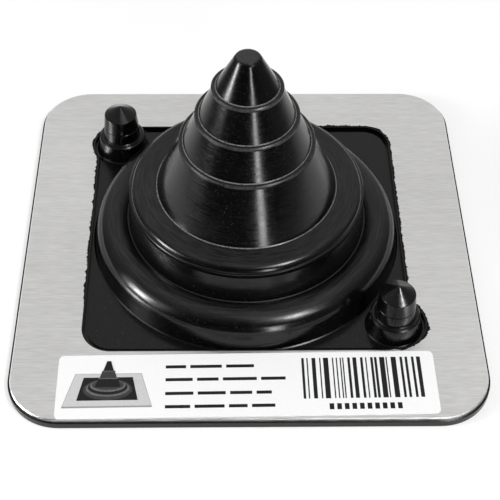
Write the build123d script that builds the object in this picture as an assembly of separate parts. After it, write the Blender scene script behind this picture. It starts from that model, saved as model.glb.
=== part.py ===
"""Pipe flashing boot: a soft stepped cone on a bellows bead, moulded onto a square metal sheet.

Millimetres, +Z up, +Y towards the back. The origin is on the roof, under the middle of the base.
The pipe goes up through the hollow cone, which is cut off at the ring that fits it.
"""
import os
from math import acos, atan2, ceil, cos, hypot, pi, radians, sin, tan

from build123d import *

# Metal sheet, whose side sets every radius of the boot, and the soft layer under it
sheet_side = 100.0
sheet_margin = 14.3
sheet_thickness = 0.8
sheet_corner = 11.0
sheet_edge_bevel = 0.2
layer_thickness = 1.4
layer_overhang = 0.45

# Walls of the moulding, and the rounding in its inner corners
boot_wall = 1.75
nipple_wall = 1.2
crease_round = 0.25

# Largest rounding made with one straight face; a larger one gets several, and the bead's hollow this many
one_cut_round = 0.4
bead_cuts = 4

# Cone with its closed tip: equal tiers with a ring under each, and a tall first tier down to the shelf;
# the shares are parts of the way in from the cone's foot to its tip
tip_radius = 2.55
tip_round = 1.2
tip_height = 7.75
ring_count = 3
tier_pitch = 7.45
tier_share = 0.2065
ring_ledge = 0.95
ring_face = 0.75
ring_undercut = 0.35
ring_round = 0.25
foot_height = 13.1
foot_share = 0.35

# Shelf with a broad soft edge of several straight faces, its parting lip and the waist below
shelf_width = 5.85
shelf_fall = 0.1
edge_round = 1.6
edge_cuts = 5
lip_drop = 1.25
lip_overhang = 0.4
lip_thickness = 0.4
lip_round = 0.15
lip_notch = 0.15
waist_drop = 1.6
waist_swell = 0.1

# Bellows bead below the waist, with heights above the top of the sheet
waist_rise = 12.6
crease_reach = 1.0
crease_share = 0.04
bead_crease_round = 0.15
bead_reach = 2.65
bead_round = 4.6
bead_flare = 0.8
bead_centre_rise = 2.15

# Corner nipples, a pair set a little off the boot's axis, with heights above the top of the sheet
nipple_angle = 42.5
nipple_gap = 0.9
pair_shift_x = 0.95
pair_shift_y = 0.6
nipple_foot_radius = 6.1
nipple_foot_height = 3.4
nipple_step = 0.75
nipple_step_round = 0.35
nipple_ledge = 0.95
nipple_neck_flare = 0.1
nipple_neck_height = 0.9
nipple_stem_height = 5.5
nipple_stem_taper = 0.5
nipple_mark_height = 2.0
nipple_mark_size = 0.15
nipple_cap_height = 2.3
nipple_cap_round = 0.15
nipple_point_radius = 0.35

# Window in the sheet with its two lobes, its soft lining and the groove beside it
boot_x = -0.3
window_side_gap = 0.95
window_front_gap = 0.35
window_corner = 6.5
lobe_gap = 1.1
lining_thickness = 0.35
groove_width = 0.9
groove_depth = 0.45

# Sealing ribs on the underside
rib_count = 3
rib_height = 0.4
rib_width = 1.1
rib_pitch = 2.8
rib_inset = 1.6

# Paper label on the front margin, between the sheet's edge and the window
label_depth = 16.0
label_thickness = 0.12
label_corner = 1.2
label_x = -0.5
label_side_gap = 10.55
label_front_gap = 0.2
label_lobe_gap = 1.03
label_turn = 0.7

# Levels from the roof upwards
layer_top = rib_height + layer_thickness
sheet_top = layer_top + sheet_thickness
bead_centre = sheet_top + bead_centre_rise
waist = sheet_top + waist_rise
lip_top = waist + waist_drop
shelf_top = lip_top + lip_drop
low_ring = shelf_top + foot_height
tip_top = low_ring + (ring_count - 1) * tier_pitch + tip_height

# Radii from the window inwards
window_width = sheet_side - 2 * sheet_margin
bead_foot_radius = window_width / 2 - window_side_gap
window_depth = 2 * (bead_foot_radius + window_front_gap)
bead_centre_radius = bead_foot_radius - bead_flare - bead_round
shelf_radius = bead_centre_radius - bead_reach - crease_reach
cone_foot_radius = shelf_radius - shelf_width
tier_taper = tier_share * (cone_foot_radius - tip_radius)
foot_flare = foot_share * (cone_foot_radius - tip_radius)
low_ring_radius = cone_foot_radius - foot_flare

# Radii and places of the nipples, and places of the label and the boot
step_radius = nipple_foot_radius - nipple_step
neck_radius = step_radius - nipple_ledge
stem_radius = neck_radius - nipple_neck_flare
lobe_radius = nipple_foot_radius + lobe_gap
nipple_distance = bead_foot_radius + nipple_gap + nipple_foot_radius
nipple_x = nipple_distance * cos(radians(nipple_angle))
nipple_y = nipple_distance * sin(radians(nipple_angle))
label_width = sheet_side - 2 * label_side_gap
label_swing = (label_width / 2 - label_corner) * sin(radians(label_turn))
label_y = label_front_gap + label_swing + label_depth / 2 - sheet_side / 2
pair_x = boot_x + pair_shift_x
pair_y = label_y + label_depth / 2 + label_lobe_gap + lobe_radius + nipple_y
boot_y = pair_y - pair_shift_y
nipple_places = [(pair_x - nipple_x, pair_y + nipple_y), (pair_x + nipple_x, pair_y - nipple_y)]

# Slopes and angles of the skins
flare = 2 * crease_round
cut_past = 1.0
cone_slope = foot_flare / foot_height
wall_across = boot_wall * hypot(1, cone_slope)
bead_start = pi - acos(bead_reach / bead_round)
foot_run = bead_foot_radius - bead_centre_radius
foot_drop = bead_centre - layer_top
bead_end = acos(bead_round / hypot(foot_run, foot_drop)) - atan2(foot_drop, foot_run)


def rounded_square(side, corner):
    """Flat outline of the base or of one of its sealing ribs."""
    return RectangleRounded(side, side, corner)


def slab(outline, low, high):
    """Solid between two levels under a flat outline."""
    return extrude(Pos(0, 0, low) * outline, high - low)


def window_outline(grow):
    """Outline of the sheet's window with its two lobes, grown outwards or, below zero, shrunk."""
    opening = RectangleRounded(window_width + 2 * grow, window_depth + 2 * grow, window_corner + grow)
    outline = Pos(boot_x, boot_y) * opening
    for place in nipple_places:
        outline += Pos(*place) * Circle(lobe_radius + grow)
    return outline


def rounded(before, corner, after):
    """Points along the arc that rounds a corner off, for the straight faces that stand for it."""
    ends = [Vector(*point[:2]) for point in (before, corner, after)]
    arc = FilletPolyline(*ends, radius=corner[2]).edges().filter_by(GeomType.CIRCLE)[0]
    cuts = ceil(corner[2] / one_cut_round)
    points = [arc @ (step / cuts) for step in range(cuts + 1)]
    return sorted(points, key=lambda point: (point - ends[0]).length)


def corner_path(corners):
    """Path through corners given as radius, height and rounding; its two ends stay sharp."""
    points = [Vector(*corners[0][:2])]
    for before, corner, after in zip(corners, corners[1:], corners[2:]):
        points += rounded(before, corner, after) if corner[2] else [Vector(*corner[:2])]
    return Polyline(*points, Vector(*corners[-1][:2]))


def lathe(*runs):
    """Solid of revolution of an outline that starts and ends on the axis."""
    outline = Curve() + list(runs)
    closing = Line(runs[-1] @ 1, runs[0] @ 0)
    return revolve(Plane.XZ * make_face(outline + closing), Axis.Z)


def bead_point(depth, share):
    """Point at a depth under the bead's skin, at a share of the way from the waist to the foot."""
    angle = bead_start + share * (bead_end - bead_start)
    radius = bead_round - depth
    return bead_centre_radius + radius * cos(angle), bead_centre + radius * sin(angle)


def shelf_edge():
    """Corners along the shelf's soft outer edge, an arc that ends at the notch over the lip."""
    radius = shelf_radius - edge_round
    height = shelf_top - shelf_fall - edge_round
    end = acos((lip_top + lip_notch - height) / edge_round)
    turns = [step * end / edge_cuts for step in range(edge_cuts + 1)]
    return [(radius + edge_round * sin(turn), height + edge_round * cos(turn), 0) for turn in turns]


def ring_places():
    """Radius and height of each ring's inner corner, from the top ring down."""
    steps = range(ring_count - 1, -1, -1)
    return [
        (low_ring_radius - step * tier_taper, low_ring + step * tier_pitch)
        for step in steps
    ]


def boot_outside():
    """Cone with its rings, shelf, lip and bellows bead, as one solid down into the base layer."""
    cone = [(0, tip_top, 0), (tip_radius, tip_top, tip_round)]
    for radius, height in ring_places():
        edge = radius + ring_ledge
        cone += [
            (radius, height, crease_round),
            (edge, height, ring_round),
            (edge, height - ring_face, 0),
            (edge - ring_undercut, height - ring_face, 0),
        ]
    lip_radius = shelf_radius + lip_overhang
    shelf = [
        (cone_foot_radius, shelf_top, crease_round),
        *shelf_edge(),
        (shelf_radius - lip_notch, lip_top, 0),
        (lip_radius, lip_top, lip_round),
        (lip_radius, lip_top - lip_thickness, lip_round),
        (shelf_radius + waist_swell, waist, 0),
    ]
    crease, start, crown, skirt = (bead_point(0, share) for share in (0, crease_share, 0.5, 1))
    upper = corner_path(cone + shelf + [(*crease, bead_crease_round), (*start, 0)])
    bead = ThreePointArc(start, crown, skirt)
    foot = corner_path([
        (*skirt, 0),
        (bead_foot_radius, layer_top, crease_round),
        (bead_foot_radius + flare, layer_top, 0),
        (bead_foot_radius + flare, rib_height, 0),
        (0, rib_height, 0),
    ])
    return lathe(upper, bead, foot)


def boot_hollow():
    """Space inside the boot, which opens at the underside of the base."""
    tip = tip_top - boot_wall
    ring_radius, ring_height = ring_places()[0]
    crease_radius, crease_height = bead_point(0, 0)
    skirt_radius, skirt_height = bead_point(boot_wall, 1)
    bottom = -cut_past
    mouth = skirt_radius + (skirt_height - bottom) * tan(bead_end)
    bead = [(*bead_point(boot_wall, step / bead_cuts), 0) for step in range(bead_cuts)]
    return lathe(corner_path([
        (0, tip, 0),
        (tip_radius - boot_wall, tip, 0),
        (ring_radius - wall_across, ring_height, 0),
        (cone_foot_radius + cone_slope * boot_wall - wall_across, shelf_top - boot_wall, 0),
        (shelf_radius - boot_wall, shelf_top - shelf_fall - boot_wall, 0),
        (crease_radius - boot_wall, crease_height - boot_wall, 0),
        *bead,
        (skirt_radius, skirt_height, 0),
        (mouth, bottom, 0),
        (0, bottom, 0),
    ]))


def nipple_outside():
    """Stepped nipple with a marked stem and a pointed cap, down into the base layer."""
    ledge = sheet_top + nipple_foot_height
    neck = ledge + nipple_neck_height
    mark = neck + nipple_mark_height
    mark_radius = stem_radius - nipple_stem_taper * nipple_mark_height / nipple_stem_height
    cap = neck + nipple_stem_height
    tip = cap + nipple_cap_height
    return lathe(corner_path([
        (0, tip, 0),
        (nipple_point_radius, tip, 0),
        (stem_radius - nipple_stem_taper, cap, nipple_cap_round),
        (mark_radius, mark + nipple_mark_size, 0),
        (mark_radius - nipple_mark_size, mark, 0),
        (mark_radius, mark - nipple_mark_size, 0),
        (stem_radius, neck, 0),
        (neck_radius, ledge, crease_round),
        (step_radius, ledge, nipple_step_round),
        (nipple_foot_radius, layer_top, crease_round),
        (nipple_foot_radius + flare, layer_top, 0),
        (nipple_foot_radius + flare, rib_height, 0),
        (0, rib_height, 0),
    ]))


def nipple_hollow():
    """Space inside a nipple, which opens at the underside of the base."""
    shoulder = sheet_top + nipple_foot_height - nipple_wall
    crown = sheet_top + nipple_foot_height + nipple_neck_height + nipple_stem_height - nipple_wall
    return lathe(corner_path([
        (0, crown + nipple_wall / 2, 0),
        (stem_radius - nipple_stem_taper - nipple_wall, crown, 0),
        (stem_radius - nipple_wall, shoulder, 0),
        (step_radius - nipple_wall, shoulder, 0),
        (nipple_foot_radius - nipple_wall, -cut_past, 0),
        (0, -cut_past, 0),
    ]))


def base_layer():
    """Soft layer under the sheet, with its sealing ribs, the window's lining and the groove beside it."""
    side = sheet_side + 2 * layer_overhang
    corner = sheet_corner + layer_overhang
    layer = slab(rounded_square(side, corner), rib_height, layer_top)
    for index in range(rib_count):
        inset = rib_inset + index * rib_pitch
        outer = rounded_square(side - 2 * inset, corner - inset)
        inner = rounded_square(side - 2 * inset - 2 * rib_width, corner - inset - rib_width)
        layer += slab(outer - inner, 0, rib_height)
    lining_inside = window_outline(-lining_thickness)
    layer += slab(window_outline(0) - lining_inside, layer_top - groove_depth, sheet_top)
    groove = lining_inside - window_outline(-lining_thickness - groove_width)
    return layer - slab(groove, layer_top - groove_depth, layer_top)


def rubber_boot():
    """The whole soft moulding, hollow under the cone and under each nipple."""
    boot = base_layer() + Pos(boot_x, boot_y) * boot_outside()
    for place in nipple_places:
        boot += Pos(*place) * nipple_outside()
    boot -= Pos(boot_x, boot_y) * boot_hollow()
    for place in nipple_places:
        boot -= Pos(*place) * nipple_hollow()
    return boot


def base_sheet():
    """Metal sheet with its window and lobes, its upper edge broken all round."""
    sheet = slab(rounded_square(sheet_side, sheet_corner), layer_top, sheet_top)
    sheet = chamfer(sheet.edges().group_by(Axis.Z)[-1], sheet_edge_bevel)
    return sheet - slab(window_outline(0), layer_top, sheet_top)


def label():
    """Paper sticker along the sheet's front edge, set a little crooked by hand."""
    outline = Rot(0, 0, label_turn) * RectangleRounded(label_width, label_depth, label_corner)
    return slab(Pos(label_x, label_y) * outline, sheet_top, sheet_top + label_thickness)


def main():
    os.makedirs("parts", exist_ok=True)
    for piece in (rubber_boot, base_sheet, label):
        export_step(piece(), f"parts/{piece.__name__}.step")


main()
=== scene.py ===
"""Looks of the pipe flashing boot: a soft stepped cone moulded onto a brushed sheet with a paper label.

Metres, in the part's own frame: +Z up, +Y to the back, the origin on the roof under the base.
"""
import random
from math import cos, pi, radians, sin, sqrt, tan

import bmesh
import bpy
from mathutils import Matrix, Vector


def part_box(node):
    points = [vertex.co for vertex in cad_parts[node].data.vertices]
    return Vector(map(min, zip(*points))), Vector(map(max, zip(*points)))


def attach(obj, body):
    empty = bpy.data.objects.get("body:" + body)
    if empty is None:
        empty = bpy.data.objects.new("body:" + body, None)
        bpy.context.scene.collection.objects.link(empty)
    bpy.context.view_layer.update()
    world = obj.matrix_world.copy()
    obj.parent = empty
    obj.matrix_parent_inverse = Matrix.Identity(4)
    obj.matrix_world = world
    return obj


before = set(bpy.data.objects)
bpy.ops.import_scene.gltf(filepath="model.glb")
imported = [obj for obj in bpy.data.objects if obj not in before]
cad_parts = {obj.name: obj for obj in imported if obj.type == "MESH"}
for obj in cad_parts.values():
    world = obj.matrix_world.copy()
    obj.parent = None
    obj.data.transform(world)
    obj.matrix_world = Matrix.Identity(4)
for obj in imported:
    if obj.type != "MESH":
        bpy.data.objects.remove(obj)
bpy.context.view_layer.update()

mm = 0.001

# Places taken from the sheet and its label
sheet_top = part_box("base_sheet")[1].z
label_low, label_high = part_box("label")
label_middle = (label_low + label_high) / 2
paper_top = label_high.z

# Window of the sheet, as the part has it, round the boot's axis
boot_axis = Vector((-0.3 * mm, 2.5 * mm, 0))
window_half_width = 35.7 * mm
window_half_depth = 35.1 * mm
window_corner = 6.5 * mm
pair_middle = Vector((0.65 * mm, 3.1 * mm, 0))
nipple_offset = Vector((30.78 * mm, -28.2 * mm, 0))
lobe_radius = 7.2 * mm

# Creases of the boot, along which pale lines of painted highlight run, and edges of the cone's rings worn
# dull and lighter with a painted highlight, in millimetres of radius and height
creases = ((6.65, 46.05), (10.22, 38.6), (13.8, 31.15), (19.85, 18.05), (26.7, 8.51))
crease_highlight_width = (0.12 * mm, 0.2 * mm)
ring_edges = ((7.6, 45.95), (11.17, 38.5), (14.75, 31.05))
ring_edge_width = (0.15 * mm, 0.5 * mm)

# Heights between which the tip's wear and painted highlight come in, and its share of them at an edge
tip_wear_and_highlight_heights = (53.6 * mm, 53.75 * mm)
tip_wear_and_highlight_share = 0.8

# Dust with a painted sheen: the heights between which it begins to show, and how far up a face looks where it
# settles
dust_and_sheen_heights = (4.0 * mm, 8.0 * mm)
dust_and_sheen_facing = (0.88, 0.98)

# Length along a turning mark for each radian round the axis, which sets how soon it comes and goes
mark_turn = 1.5 * mm

# Colours of the rubber, from bare through dust with a painted sheen, specks, and worn edges with a painted
# highlight, to painted crease highlights, where the first is its even colour
rubber_black = (0.0015, 0.0015, 0.0015)
rubber_clean = (0.0015, 0.0015, 0.0016)
thin_dust_and_sheen = (0.001, 0.001, 0.001)
thick_dust_and_sheen = (0.012, 0.012, 0.0124)
speck_colour = (0.025, 0.025, 0.026)
edge_wear_and_highlight_colour = (0.035, 0.035, 0.036)
crease_highlight_colour = (0.14, 0.14, 0.14)

# Stretch that a noise from 0 to 1 mostly stays in
noise_stretch = (0.3, 0.7)

# Noises of the rubber: grains a metre and levels of detail, and the stretches over which some take effect
turning_noise = (3400.0, 3.0)
grain_noise = (5200.0, 2.0)
cloud_noise = (130.0, 3.0)
speck_noise = (3600.0, 1.0)
patch_noise = (2600.0, 2.0)
streak_stretch = (0.4, 0.6)
speck_stretch = (0.65, 0.77)
patch_stretch = (0.35, 0.6)
patch_least = 0.35

# Finish of the rubber: roughness and what turning, clouds, dust and worn edges bring to it, and its relief
rubber_specular = 0.375
rubber_roughness = 0.18
turning_roughness = (0.12, 0.24)
cloud_roughness = (-0.03, 0.04)
dust_roughness = 0.25
edge_roughness = 0.15
turning_relief = 0.7
grain_relief = 0.3
rubber_relief = 0.013 * mm

# Torn film's dull black
torn_black = (0.002, 0.002, 0.002)
torn_dark = (0.001, 0.001, 0.001)
torn_pale = (0.004, 0.004, 0.004)
torn_specular = 0.12
torn_roughness = 0.6
torn_roughness_range = (0.5, 0.7)
torn_noise = (4000.0, 2.0)
torn_relief = 0.01 * mm

# Aluminium: grains a metre along each axis in its brushings, each noise's share in its tone, and its finish
metal_colour = (0.91, 0.905, 0.89)
metal_dull = (0.82, 0.815, 0.80)
metal_bright = (0.97, 0.965, 0.95)
metal_stretch = (0.4, 0.6)
brushing_noise = (1.0, 3.0)
fine_brushing = (260.0, 4200.0, 4200.0)
fine_share = 0.5
broad_brushing = (30.0, 700.0, 700.0)
broad_share = 0.2
metal_cloud_noise = (22.0, 2.0)
metal_cloud_share = 0.3
metal_roughness = 0.36
metal_roughness_range = (0.30, 0.44)
metal_relief = 0.004 * mm

# Label's paper
paper_colour = (0.82, 0.82, 0.82)
paper_shade = (0.79, 0.79, 0.79)
fibre_noise = (2200.0, 4.0)
paper_roughness = 0.55
paper_roughness_range = (0.48, 0.62)
paper_relief = 0.004 * mm

# Printing inks, and how much lighter each is where it lies thin: a share of its tone, up to a limit
ink_tones = {"black": 0.006, "dark": 0.03, "grey": 0.09, "pale": 0.25, "light": 0.5}
ink_thin_share = 0.5
ink_thin_limit = 0.04
ink_noise = (1500.0, 3.0)
ink_specular = 0.25
ink_roughness = 0.6
ink_roughness_range = (0.55, 0.7)

# Film of rubber that crept over the window's edge: its width swings slowly, with teeth where it tore
film_step = 0.16 * mm
film_thickness = 0.06 * mm
film_outer_thickness = film_thickness / 3
film_width = 0.3 * mm
film_least = 0.75
film_swing = 1.6
film_raggedness = 0.25 * mm
film_tooth_power = 3
film_torn_place = Vector((7.0 * mm, -1.8 * mm, 0))
film_torn_reach = 0.4 * mm
film_torn_length = 1.4 * mm
film_end_width = 0.05 * mm
film_end_steps = 12
film_kept_swing = 0.82
film_seed = 7

# Arcs in degrees along which the film goes round the two lobes
back_lobe_arc = (215.4, 65)
front_lobe_arc = (56.5, -94)

# Label's turn and the layout of its print, measured from the label's middle
label_turn = radians(0.7)
print_layer = 0.006 * mm
print_seed = 21
bars_left = 11.5 * mm
bars_right = 37.7 * mm
bars_bottom = -3.9 * mm
bars_top = 6.5 * mm
bar_unit = 0.27 * mm
bar_units = (1, 2, 2, 3, 4)
bar_gap_units = (1, 2, 2, 3)
last_bar_units = 3
text_left = -17.0 * mm
text_height = 0.8 * mm
# Middle and length of each line of rules
text_lines = (
    (4.7 * mm, 18.5 * mm),
    (1.4 * mm, 25.0 * mm),
    (-2.1 * mm, 22.0 * mm),
    (-5.4 * mm, 22.6 * mm),
)
rule_lengths = (3.5 * mm, 8.0 * mm)
rule_gap = 0.9 * mm
dashes_left = 16.7 * mm
dash_pitch = 1.56 * mm
dash_width = 0.95 * mm
dash_count = 10
dashes_middle = -5.9 * mm
dash_height = 1.5 * mm

# Little picture round its middle, in millimetres. A plate or a tier of the cone has a name, an ink, a low and
# a high edge, and their half widths. A ring has a name, an ink, a rise, a half width and a half height.
picture_middle = Vector((-28.9 * mm, 0.6 * mm, 0))
picture_plates = (
    ("rim", "pale", -6.0, 2.6, 9.3, 6.9),
    ("plate", "light", -5.6, 2.5, 9.1, 6.8),
    ("field", "black", -4.2, 1.6, 6.3, 5.1),
)
picture_rings = (
    ("bead", "dark", -1.5, 5.1, 2.6),
    ("bead_light", "grey", -1.2, 4.5, 2.1),
    ("waist", "black", -0.9, 4.1, 1.9),
    ("shelf", "grey", -0.5, 3.7, 1.6),
    ("shelf_top", "dark", -0.3, 3.3, 1.3),
)
picture_tiers = (
    ("tier_low", "black", -0.9, 1.3, 2.7, 2.0),
    ("tier_low_edge", "grey", 1.2, 1.4, 2.1, 2.0),
    ("tier_middle", "dark", 1.4, 3.2, 1.8, 1.3),
    ("tier_middle_edge", "grey", 3.1, 3.3, 1.4, 1.3),
    ("tier_high", "black", 3.3, 5.8, 1.1, 0.4),
)
ring_corners = 40

# Camera, placed by fitting the sheet's square in the photograph
camera_place = Vector((-4.3 * mm, -195.5 * mm, 215.9 * mm))
camera_azimuth = radians(1.45)
camera_elevation = radians(48.05)
camera_roll = radians(0.9)
camera_lens = 90.8
camera_nearest = 10 * mm
sensor_width = 36.0

# Floor: pale out to one radius, a painted shade from the next, and the share of its own white that it shows
floor_radius = 0.3
floor_corners = 96
floor_pale_radius = 0.13
floor_dark_radius = 0.24
floor_pale = (0.93, 0.93, 0.93)
floor_painted_shade = (0.1, 0.1, 0.1)
floor_roughness = 0.9
floor_white = (1.0, 1.0, 1.0)
floor_glow = 0.5

# Lamps: azimuth from the front towards +X, elevation, width and height in degrees, and how bright it looks
lamp_distance = 0.8
lamp_places = {
    "left_heart": (-75, 16, 7, 9, 60.0),
    "left_core": (-75, 17, 16, 22, 13.0),
    "left_glow": (-75, 21, 32, 38, 1.2),
    "right_heart": (42, 52, 7, 9, 45.0),
    "right_core": (43, 52, 15, 26, 6.0),
    "right_glow": (43, 58, 28, 46, 1.0),
    "front_strip": (18, 6, 7, 34, 15.0),
}

# Studio round the object, and its patches: azimuth, elevation, outer and inner reach in degrees, and tone
studio_tone = 0.14
studio_patches = (
    (0, 90, 80, 30, 0.36),
    (180, 45, 70, 25, 0.61),
    (-8, -5, 75, 45, 0.02),
)


def new_material(name, colour, roughness, metallic=0.0, specular=0.5):
    """Material with one shader whose even values are set on its own sockets."""
    material = bpy.data.materials.new(name)
    material.use_nodes = True
    tree = material.node_tree
    shader = tree.nodes["Principled BSDF"]
    shader.inputs["Base Color"].default_value = (*colour, 1)
    shader.inputs["Roughness"].default_value = roughness
    shader.inputs["Metallic"].default_value = metallic
    shader.inputs["Specular IOR Level"].default_value = specular
    return material, tree, shader


def link(tree, source, target):
    """Connects a socket to an input, or sets the input's value."""
    if isinstance(source, (int, float, tuple)):
        target.default_value = source
    else:
        tree.links.new(source, target)


def maths(tree, operation, *values):
    """Output of a Math node."""
    node = tree.nodes.new("ShaderNodeMath")
    node.operation = operation
    for value, target in zip(values, node.inputs):
        link(tree, value, target)
    return node.outputs[0]


def plus(tree, first, second):
    """Sum of two values."""
    return maths(tree, "ADD", first, second)


def minus(tree, first, second):
    """First value less the second."""
    return maths(tree, "SUBTRACT", first, second)


def times(tree, first, second):
    """Product of two values."""
    return maths(tree, "MULTIPLY", first, second)


def largest(tree, first, second):
    """Larger of two values."""
    return maths(tree, "MAXIMUM", first, second)


def distance(tree, across, along):
    """Length of the long side of a right triangle."""
    squares = plus(tree, maths(tree, "POWER", across, 2.0), maths(tree, "POWER", along, 2.0))
    return maths(tree, "SQRT", squares)


def place(tree):
    """Place of a point in the object's own space, which is the part's frame."""
    return tree.nodes.new("ShaderNodeTexCoord").outputs["Object"]


def vector_maths(tree, operation, vector, fixed=None):
    """Node that works on a vector, with a second, fixed vector where the operation takes one."""
    node = tree.nodes.new("ShaderNodeVectorMath")
    node.operation = operation
    link(tree, vector, node.inputs[0])
    if fixed is not None:
        node.inputs[1].default_value = fixed
    return node


def noise(tree, vector, scale, detail):
    """Noise from 0 to 1, with as many grains a metre as the scale and finer levels as the detail."""
    node = tree.nodes.new("ShaderNodeTexNoise")
    link(tree, vector, node.inputs["Vector"])
    node.inputs["Scale"].default_value = scale
    node.inputs["Detail"].default_value = detail
    return node.outputs["Fac"]


def brushing(tree, where, grains):
    """Noise drawn out along X, with its own grains a metre along each axis."""
    return noise(tree, vector_maths(tree, "MULTIPLY", where, grains).outputs[0], *brushing_noise)


def spread(tree, value, low, high, stretch=noise_stretch):
    """A value taken from a stretch onto the range low to high, and held there."""
    start, end = stretch
    node = tree.nodes.new("ShaderNodeMapRange")
    link(tree, value, node.inputs["Value"])
    for name, number in (("From Min", start), ("From Max", end), ("To Min", low), ("To Max", high)):
        node.inputs[name].default_value = number
    return node.outputs["Result"]


def share(tree, value, stretch=noise_stretch):
    """Share from 0 to 1 that a value has covered of a stretch."""
    return spread(tree, value, 0.0, 1.0, stretch)


def blend(tree, part, first, second):
    """Colour between two colours."""
    node = tree.nodes.new("ShaderNodeMix")
    node.data_type = "RGBA"
    link(tree, part, node.inputs["Factor"])
    for colour, name in ((first, "A_Color"), (second, "B_Color")):
        target = next(socket for socket in node.inputs if socket.identifier == name)
        link(tree, (*colour, 1) if isinstance(colour, tuple) else colour, target)
    return next(socket for socket in node.outputs if socket.identifier == "Result_Color")


def bump(tree, shader, height, depth):
    """Relief on the shader from a height of 0 to 1 that stands for a depth in metres."""
    node = tree.nodes.new("ShaderNodeBump")
    node.inputs["Distance"].default_value = depth
    link(tree, height, node.inputs["Height"])
    link(tree, node.outputs["Normal"], shader.inputs["Normal"])


def boot_place(tree, where):
    """Radius, turn and height of a point round the boot's axis."""
    split = tree.nodes.new("ShaderNodeSeparateXYZ")
    link(tree, where, split.inputs[0])
    across = minus(tree, split.outputs["X"], boot_axis.x)
    along = minus(tree, split.outputs["Y"], boot_axis.y)
    return distance(tree, across, along), maths(tree, "ARCTAN2", across, along), split.outputs["Z"]


def turning_marks(tree, radius, turn, height):
    """Fine marks round the boot's axis that come and go along their way."""
    rings = tree.nodes.new("ShaderNodeCombineXYZ")
    link(tree, radius, rings.inputs["X"])
    link(tree, height, rings.inputs["Y"])
    link(tree, times(tree, turn, mark_turn), rings.inputs["Z"])
    return noise(tree, rings.outputs[0], *turning_noise)


def line_band(tree, radius, height, places, width):
    """Share of a mark along lines round the boot, full within the first width and none beyond the second."""
    wear = 0.0
    for line_radius, line_height in places:
        out = minus(tree, radius, line_radius * mm)
        up = minus(tree, height, line_height * mm)
        wear = largest(tree, wear, spread(tree, distance(tree, out, up), 1.0, 0.0, width))
    return wear


def settled_dust_and_sheen(tree, height):
    """Share of dust and painted sheen: none on steep faces and none low on the boot."""
    normal = tree.nodes.new("ShaderNodeSeparateXYZ")
    link(tree, tree.nodes.new("ShaderNodeNewGeometry").outputs["Normal"], normal.inputs[0])
    return times(tree, share(tree, normal.outputs["Z"], dust_and_sheen_facing), share(tree, height, dust_and_sheen_heights))


def rubber_material():
    """Black moulded rubber: semi-gloss, with turning marks, grain, dust with a painted sheen, painted
    highlight lines along its creases, and dull edges that are worn and carry a painted highlight.
    """
    material, tree, shader = new_material(
        "moulded_rubber", rubber_black, rubber_roughness, specular=rubber_specular
    )
    where = place(tree)
    radius, turn, height = boot_place(tree, where)
    turning = turning_marks(tree, radius, turn, height)
    grain = noise(tree, where, *grain_noise)
    clouds = noise(tree, where, *cloud_noise)
    specks = share(tree, noise(tree, where, *speck_noise), speck_stretch)
    patches = spread(tree, noise(tree, where, *patch_noise), patch_least, 1.0, patch_stretch)
    # Wear at the tip and along the ring edges, lighter with a painted highlight
    tip = spread(tree, height, 0.0, tip_wear_and_highlight_share, tip_wear_and_highlight_heights)
    edge = largest(tree, tip, line_band(tree, radius, height, ring_edges, ring_edge_width))
    edge = times(tree, edge, patches)
    # Painted highlight lines along the creases
    crease_highlight = times(tree, line_band(tree, radius, height, creases, crease_highlight_width), patches)
    # Dust on up-facing faces, with a painted sheen that is thicker along the turning marks
    dust_and_sheen_share = settled_dust_and_sheen(tree, height)

    dust_and_sheen_colour = blend(tree, share(tree, turning, streak_stretch), thin_dust_and_sheen, thick_dust_and_sheen)
    colour = blend(tree, dust_and_sheen_share, rubber_clean, dust_and_sheen_colour)
    colour = blend(tree, specks, colour, speck_colour)
    colour = blend(tree, edge, colour, edge_wear_and_highlight_colour)
    link(tree, blend(tree, crease_highlight, colour, crease_highlight_colour), shader.inputs["Base Color"])

    gloss = plus(tree, spread(tree, clouds, *cloud_roughness), spread(tree, turning, *turning_roughness))
    gloss = plus(tree, gloss, times(tree, dust_and_sheen_share, dust_roughness))
    link(tree, plus(tree, gloss, times(tree, edge, edge_roughness)), shader.inputs["Roughness"])
    relief = plus(tree, times(tree, turning, turning_relief), times(tree, grain, grain_relief))
    bump(tree, shader, relief, rubber_relief)
    return material


def torn_material():
    """Dull black rubber of the torn film."""
    material, tree, shader = new_material("torn_rubber", torn_black, torn_roughness, specular=torn_specular)
    grain = noise(tree, place(tree), *torn_noise)
    link(tree, blend(tree, grain, torn_dark, torn_pale), shader.inputs["Base Color"])
    link(tree, spread(tree, grain, *torn_roughness_range), shader.inputs["Roughness"])
    bump(tree, shader, grain, torn_relief)
    return material


def metal_material():
    """Bright sheet aluminium, brushed from side to side."""
    material, tree, shader = new_material("brushed_aluminium", metal_colour, metal_roughness, metallic=1.0)
    where = place(tree)
    fine = brushing(tree, where, fine_brushing)
    broad = brushing(tree, where, broad_brushing)
    clouds = noise(tree, where, *metal_cloud_noise)
    tone = plus(tree, times(tree, fine, fine_share), times(tree, broad, broad_share))
    tone = plus(tree, tone, times(tree, clouds, metal_cloud_share))
    colour = blend(tree, share(tree, tone, metal_stretch), metal_dull, metal_bright)
    link(tree, colour, shader.inputs["Base Color"])
    link(tree, spread(tree, fine, *metal_roughness_range), shader.inputs["Roughness"])
    bump(tree, shader, fine, metal_relief)
    return material


def paper_material():
    """Matt white sticker paper with a little fibre."""
    material, tree, shader = new_material("sticker_paper", paper_colour, paper_roughness)
    fibre = noise(tree, place(tree), *fibre_noise)
    link(tree, blend(tree, share(tree, fibre), paper_shade, paper_colour), shader.inputs["Base Color"])
    link(tree, spread(tree, fibre, *paper_roughness_range), shader.inputs["Roughness"])
    bump(tree, shader, fibre, paper_relief)
    return material


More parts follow.
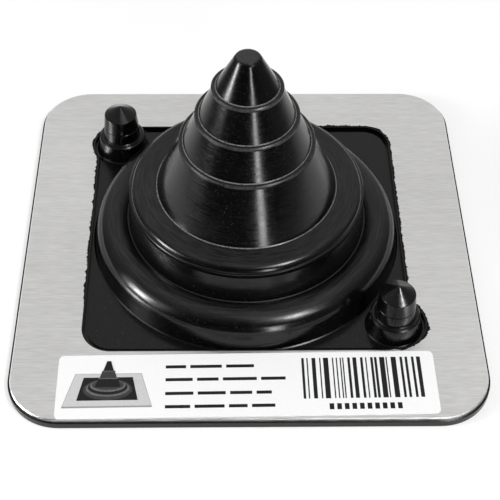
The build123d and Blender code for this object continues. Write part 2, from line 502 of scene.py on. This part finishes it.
def ink_material(name, tone):
    """Printing ink of one tone, a little uneven on the paper."""
    full = (tone, tone, tone)
    thin = (tone + min(ink_thin_share * tone, ink_thin_limit),) * 3
    material, tree, shader = new_material(name, full, ink_roughness, specular=ink_specular)
    cover = noise(tree, place(tree), *ink_noise)
    link(tree, blend(tree, share(tree, cover), full, thin), shader.inputs["Base Color"])
    link(tree, spread(tree, cover, *ink_roughness_range), shader.inputs["Roughness"])
    return material


def add_piece(name, data, material):
    """New piece of the object, riding on its only body."""
    piece = bpy.data.objects.new(name, data)
    bpy.context.scene.collection.objects.link(piece)
    piece.data.materials.append(material)
    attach(piece, "root")


def dress(node, material):
    """Gives one of the part's solids its material."""
    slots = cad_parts[node].data.materials
    slots.clear()
    slots.append(material)


def finished_mesh(name, mesh):
    """Mesh data of a closed form, with its faces turned outward."""
    bmesh.ops.recalc_face_normals(mesh, faces=mesh.faces)
    data = bpy.data.meshes.new(name)
    mesh.to_mesh(data)
    mesh.free()
    return data


def line_points(start, end, outward):
    """Points along a straight stretch of the window's edge, with their outward direction."""
    count = max(2, round((end - start).length / film_step))
    return [(start.lerp(end, step / count), outward) for step in range(count + 1)]


def arc_points(centre, radius, first, last):
    """Points along an arc of the window's edge between angles in degrees, with their outward directions."""
    count = max(2, round(abs(radians(last - first)) * radius / film_step))
    points = []
    for step in range(count + 1):
        angle = radians(first + (last - first) * step / count)
        outward = Vector((cos(angle), sin(angle), 0))
        points.append((centre + radius * outward, outward))
    return points


def left_edge_points(back_lobe):
    """Points along the window's left edge and round the lobe at its back."""
    left = boot_axis.x - window_half_width
    front = boot_axis.y - window_half_depth
    reach = sqrt(lobe_radius ** 2 - (back_lobe.x - left) ** 2)
    start = Vector((left, front + 2 * window_corner, 0))
    end = Vector((left, back_lobe.y - reach, 0))
    return line_points(start, end, Vector((-1, 0, 0))) + arc_points(back_lobe, lobe_radius, *back_lobe_arc)


def right_edge_points(front_lobe):
    """Points along part of the window's back edge and its right edge, and round the lobe at its front."""
    right = boot_axis.x + window_half_width
    back = boot_axis.y + window_half_depth
    reach = sqrt(lobe_radius ** 2 - (right - front_lobe.x) ** 2)
    corner = Vector((right - window_corner, back - window_corner, 0))
    back_start = Vector((boot_axis.x + window_corner, back, 0))
    back_end = Vector((corner.x, back, 0))
    right_start = Vector((right, corner.y, 0))
    right_end = Vector((right, front_lobe.y + reach, 0))
    return (
        line_points(back_start, back_end, Vector((0, 1, 0)))
        + arc_points(corner, window_corner, 90, 0)
        + line_points(right_start, right_end, Vector((1, 0, 0)))
        + arc_points(front_lobe, lobe_radius, *front_lobe_arc)
    )


def film_run(points, picker, torn_place):
    """Rows of four corners across a film on the sheet along the window's edge, drawn out at one place."""
    rows = []
    swing = 0.0
    last = len(points) - 1
    for index, (edge, outward) in enumerate(points):
        swing = film_kept_swing * swing + (1 - film_kept_swing) * picker.uniform(-1, 1)
        tooth = picker.random() ** film_tooth_power
        near_end = min(1, index / film_end_steps, (last - index) / film_end_steps)
        width = film_width * (film_least + film_swing * swing) + film_raggedness * tooth * (1 + swing)
        tear = max(0, 1 - (edge - torn_place).length / film_torn_length)
        width = max(film_end_width, near_end * (width + film_torn_reach * tear ** 2))
        inner = edge - outward * film_end_width
        outer = edge + outward * width
        rows.append([
            Vector((inner.x, inner.y, sheet_top)),
            Vector((outer.x, outer.y, sheet_top)),
            Vector((outer.x, outer.y, sheet_top + film_outer_thickness)),
            Vector((inner.x, inner.y, sheet_top + film_thickness)),
        ])
    return rows


def closed_strip(name, rows):
    """Mesh through rows of four corners, closed at both ends."""
    mesh = bmesh.new()
    corners = [[mesh.verts.new(corner) for corner in row] for row in rows]
    for before, after in zip(corners, corners[1:]):
        for side in range(4):
            following = (side + 1) % 4
            mesh.faces.new((before[side], after[side], after[following], before[following]))
    mesh.faces.new(corners[0])
    mesh.faces.new(corners[-1][::-1])
    return finished_mesh(name, mesh)


def rubber_films(material):
    """Torn film of rubber along the window's left edge, and along its right edge and part of its back."""
    picker = random.Random(film_seed)
    back_lobe = pair_middle - nipple_offset
    front_lobe = pair_middle + nipple_offset
    films = (
        ("film_left", left_edge_points(back_lobe), back_lobe),
        ("film_right", right_edge_points(front_lobe), front_lobe + film_torn_place),
    )
    for name, points, torn_place in films:
        add_piece(name, closed_strip(name, film_run(points, picker, torn_place)), material)


def print_piece(name, outlines, ink, layer):
    """Flat printed shapes on the label, given as outlines round the label's middle."""
    middle = Vector((label_middle.x, label_middle.y, paper_top))
    turn = Matrix.Rotation(label_turn, 4, "Z")
    mesh = bmesh.new()
    for outline in outlines:
        base = [mesh.verts.new(turn @ Vector((x, y, 0)) + middle) for x, y in outline]
        face = mesh.faces.new(base)
        raised = bmesh.ops.extrude_face_region(mesh, geom=[face])["geom"]
        top = [item for item in raised if isinstance(item, bmesh.types.BMVert)]
        bmesh.ops.translate(mesh, verts=top, vec=(0, 0, layer * print_layer))
    add_piece(name, finished_mesh(name, mesh), ink)


def block(left, bottom, right, top):
    """Outline of an upright rectangle."""
    return [(left, bottom), (right, bottom), (right, top), (left, top)]


def ellipse(middle_x, middle_y, half_width, half_height):
    """Outline of an ellipse."""
    angles = [2 * pi * step / ring_corners for step in range(ring_corners)]
    return [(middle_x + half_width * cos(angle), middle_y + half_height * sin(angle)) for angle in angles]


def trapezium(middle_x, low, high, low_half, high_half):
    """Outline of an upright trapezium."""
    return [
        (middle_x - low_half, low), (middle_x + low_half, low),
        (middle_x + high_half, high), (middle_x - high_half, high),
    ]


def bar_outlines(picker):
    """Upright bars of random widths."""
    bars = []
    left = bars_left
    while left < bars_right - last_bar_units * bar_unit:
        right = left + bar_unit * picker.choice(bar_units)
        bars.append(block(left, bars_bottom, right, bars_top))
        left = right + bar_unit * picker.choice(bar_gap_units)
    return bars


def text_outlines(picker):
    """Lines of short rules of random lengths."""
    rules = []
    for middle, length in text_lines:
        left = text_left
        end = text_left + length
        while left < end - text_height:
            right = min(end, left + picker.uniform(*rule_lengths))
            rules.append(block(left, middle - text_height / 2, right, middle + text_height / 2))
            left = right + rule_gap
    return rules


def dash_outlines():
    """Even dashes under the bars."""
    low = dashes_middle - dash_height / 2
    high = dashes_middle + dash_height / 2
    starts = [dashes_left + dash_pitch * index for index in range(dash_count)]
    return [block(start, low, start + dash_width, high) for start in starts]


def picture_plate(name, ink, low, high, low_half, high_half):
    """Name, ink and outline of a plate or a tier of the little picture."""
    x, y = picture_middle.x, picture_middle.y
    return name, ink, trapezium(x, y + low * mm, y + high * mm, low_half * mm, high_half * mm)


def picture_ring(name, ink, rise, half_width, half_height):
    """Name, ink and outline of a ring of the little picture."""
    x, y = picture_middle.x, picture_middle.y
    return name, ink, ellipse(x, y + rise * mm, half_width * mm, half_height * mm)


def picture_shapes():
    """Flat shapes of the little picture, from the lowest layer up."""
    plates = [picture_plate(*plate) for plate in picture_plates]
    rings = [picture_ring(*ring) for ring in picture_rings]
    tiers = [picture_plate(*tier) for tier in picture_tiers]
    return plates + rings + tiers


def label_print():
    """Print of the label: a plain picture of a cone on a base, lines of rules, and bars over dashes."""
    picker = random.Random(print_seed)
    inks = {name: ink_material(f"ink_{name}", tone) for name, tone in ink_tones.items()}
    for layer, (name, ink, outline) in enumerate(picture_shapes(), 1):
        print_piece(f"print_{name}", [outline], inks[ink], layer)
    print_piece("print_text", text_outlines(picker), inks["black"], 1)
    print_piece("print_bars", bar_outlines(picker), inks["black"], 1)
    print_piece("print_dashes", dash_outlines(), inks["black"], 1)


def floor():
    """Pale floor that renders white round the object, keeps its shadow and fades into a painted shade further
    off.
    """
    bpy.ops.mesh.primitive_circle_add(vertices=floor_corners, radius=floor_radius, fill_type="NGON")
    plane = bpy.context.object
    plane.name = "floor"
    material, tree, shader = new_material("floor_white", floor_pale, floor_roughness, specular=0.0)
    away = vector_maths(tree, "LENGTH", place(tree)).outputs["Value"]
    # Painted shade on the floor beyond the pale radius
    near = spread(tree, away, 1.0, 0.0, (floor_pale_radius, floor_dark_radius))
    link(tree, blend(tree, near, floor_painted_shade, floor_pale), shader.inputs["Base Color"])
    glow = tree.nodes.new("ShaderNodeEmission")
    link(tree, blend(tree, near, floor_painted_shade, floor_white), glow.inputs["Color"])
    rays = tree.nodes.new("ShaderNodeLightPath").outputs
    seen = largest(tree, rays["Is Camera Ray"], rays["Is Glossy Ray"])
    seen = largest(tree, seen, rays["Is Transmission Ray"])
    mix = tree.nodes.new("ShaderNodeMixShader")
    link(tree, times(tree, seen, floor_glow), mix.inputs["Fac"])
    link(tree, shader.outputs[0], mix.inputs[1])
    link(tree, glow.outputs[0], mix.inputs[2])
    link(tree, mix.outputs[0], tree.nodes["Material Output"].inputs["Surface"])
    plane.data.materials.append(material)


def direction(azimuth, elevation):
    """Unit vector towards a direction given in degrees."""
    turn, rise = radians(azimuth), radians(elevation)
    return Vector((sin(turn) * cos(rise), -cos(turn) * cos(rise), sin(rise)))


def softbox(name, azimuth, elevation, width, height, level):
    """Rectangular lamp that fills a width and height in degrees and looks as bright as its level."""
    towards = direction(azimuth, elevation)
    lamp = bpy.data.lights.new(name, "AREA")
    lamp.shape = "RECTANGLE"
    lamp.size = 2 * lamp_distance * tan(radians(width / 2))
    lamp.size_y = 2 * lamp_distance * tan(radians(height / 2))
    lamp.energy = pi * lamp.size * lamp.size_y * level
    holder = bpy.data.objects.new(name, lamp)
    facing = towards.to_track_quat("Z", "Y").to_matrix().to_4x4()
    holder.matrix_world = Matrix.Translation(towards * lamp_distance) @ facing
    bpy.context.scene.collection.objects.link(holder)


def lamps():
    """Light as from a window on the left, a soft box at the right front and a narrow light in front."""
    for name, values in lamp_places.items():
        softbox(name, *values)


def surroundings():
    """Grey studio round the object: paler above and at the back, and dark low in front."""
    world = bpy.data.worlds.new("studio")
    world.use_nodes = True
    tree = world.node_tree
    where = tree.nodes.new("ShaderNodeTexCoord").outputs["Generated"]
    colour = (studio_tone,) * 3
    for azimuth, elevation, outer, inner, tone in studio_patches:
        towards = vector_maths(tree, "DOT_PRODUCT", where, direction(azimuth, elevation)).outputs["Value"]
        part = share(tree, towards, (cos(radians(outer)), cos(radians(inner))))
        colour = blend(tree, part, colour, (tone,) * 3)
    link(tree, colour, tree.nodes["Background"].inputs["Color"])
    bpy.context.scene.world = world


def camera():
    """Camera at the photograph's place and angle."""
    data = bpy.data.cameras.new("camera")
    data.sensor_width = sensor_width
    data.lens = camera_lens
    data.clip_start = camera_nearest
    viewer = bpy.data.objects.new("camera", data)
    turned = Matrix.Rotation(-camera_azimuth, 4, "Z") @ Matrix.Rotation(pi / 2 - camera_elevation, 4, "X")
    viewer.matrix_world = Matrix.Translation(camera_place) @ turned @ Matrix.Rotation(camera_roll, 4, "Z")
    bpy.context.scene.collection.objects.link(viewer)
    bpy.context.scene.camera = viewer


dress("rubber_boot", rubber_material())
dress("base_sheet", metal_material())
dress("label", paper_material())
rubber_films(torn_material())
label_print()
floor()
lamps()
surroundings()
camera()
bpy.context.scene.view_settings.view_transform = "Standard"
